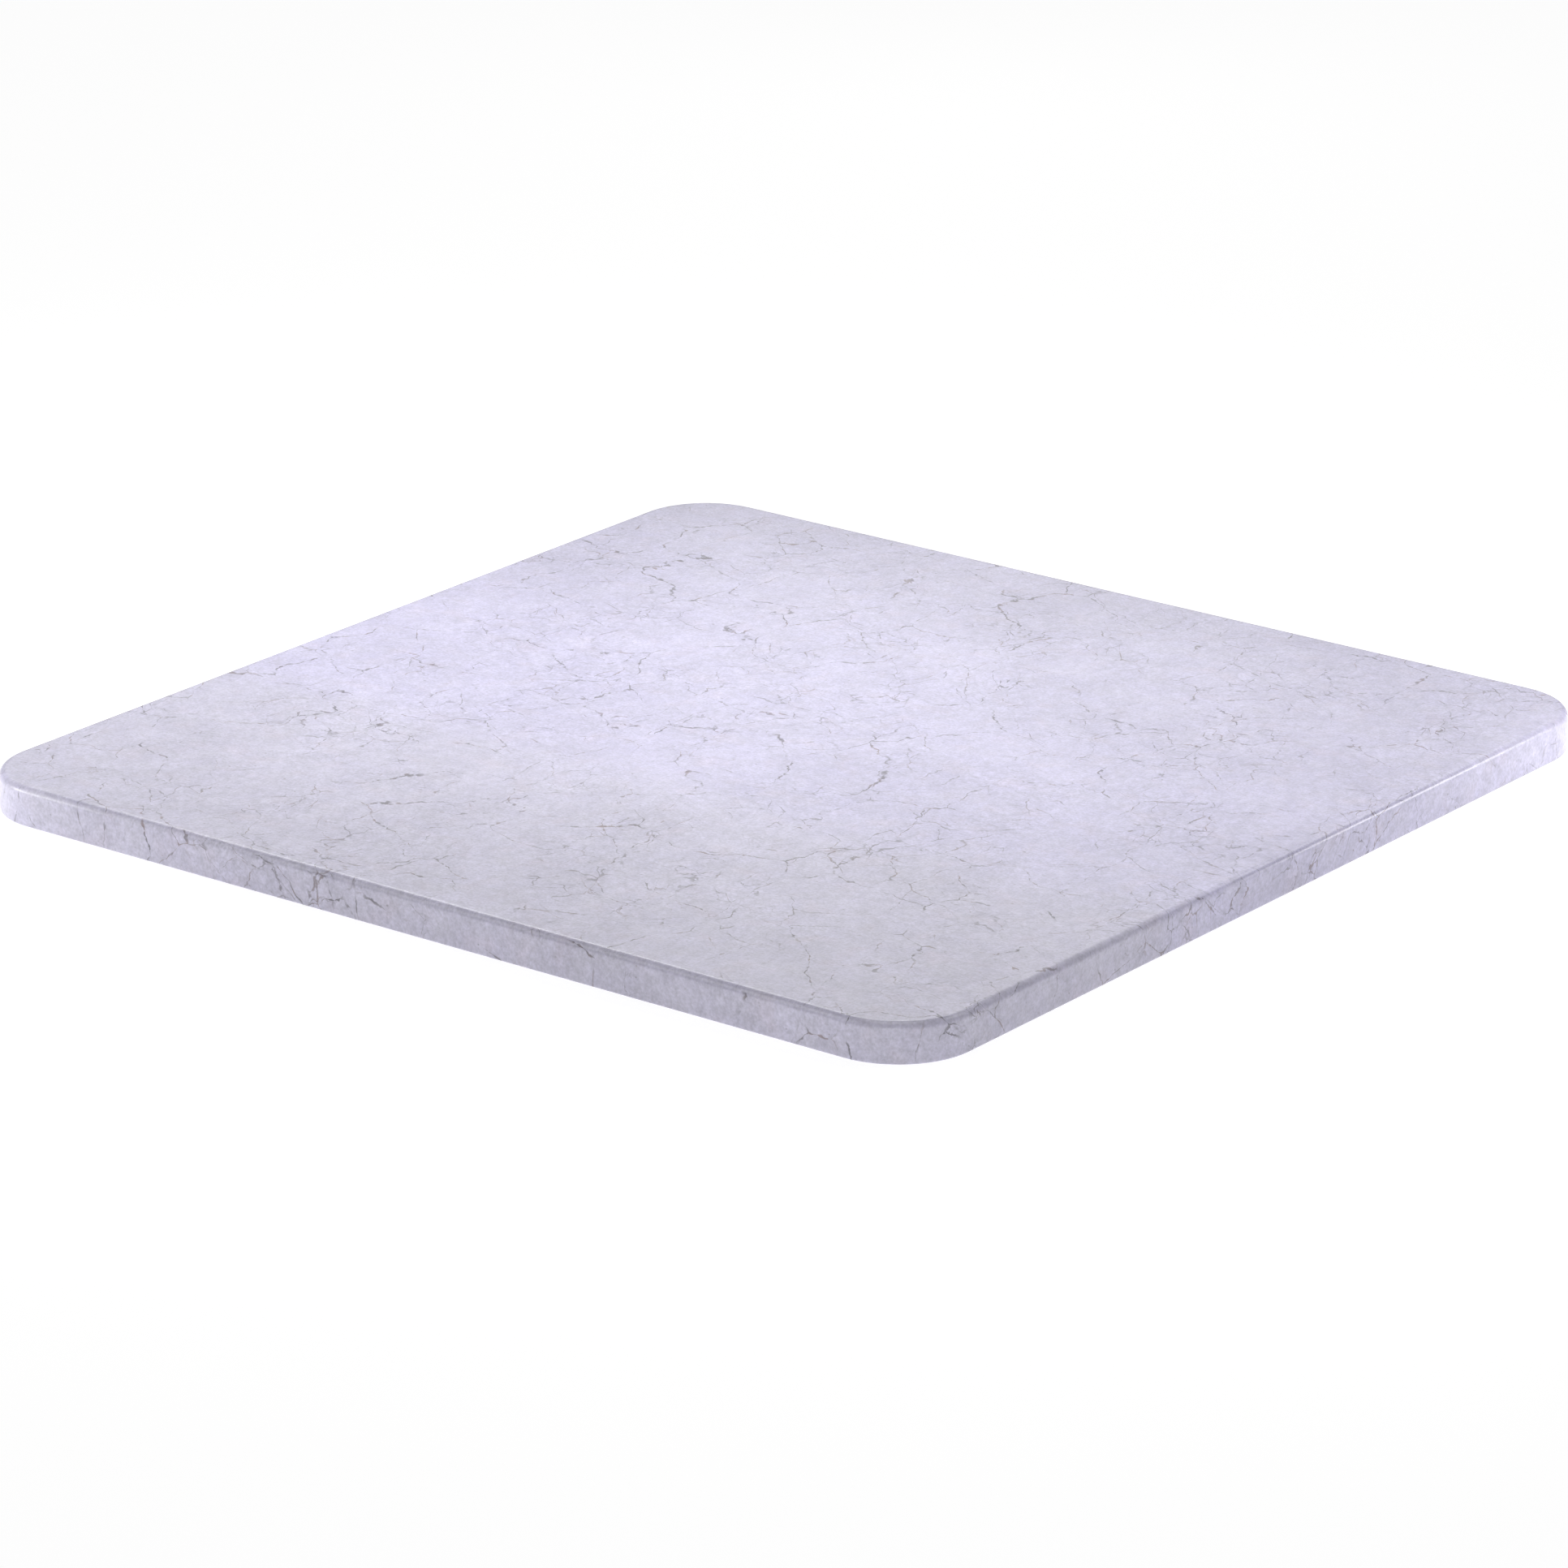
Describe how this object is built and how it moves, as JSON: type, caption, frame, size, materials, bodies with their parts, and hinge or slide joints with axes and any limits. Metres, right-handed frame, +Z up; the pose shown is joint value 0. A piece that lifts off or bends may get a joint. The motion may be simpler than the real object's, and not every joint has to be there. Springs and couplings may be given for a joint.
{
  "type": "granite slab",
  "caption": "Flat square stone slab with rounded corners and polished edges, a firm, heavy work surface for stamping and tooling leather.",
  "frame": {"origin": "centre of the slab's underside, on the surface it lies on", "axes": "+Z up, square to the working face; +X and +Y along the slab's two equal sides, with the worker at -Y"},
  "size_m": [0.457, 0.457, 0.016],
  "materials": {
    "polished_stone": "polished"
  },
  "bodies": {
    "root": {"slab": "polished_stone"}
  },
  "joints": []
}
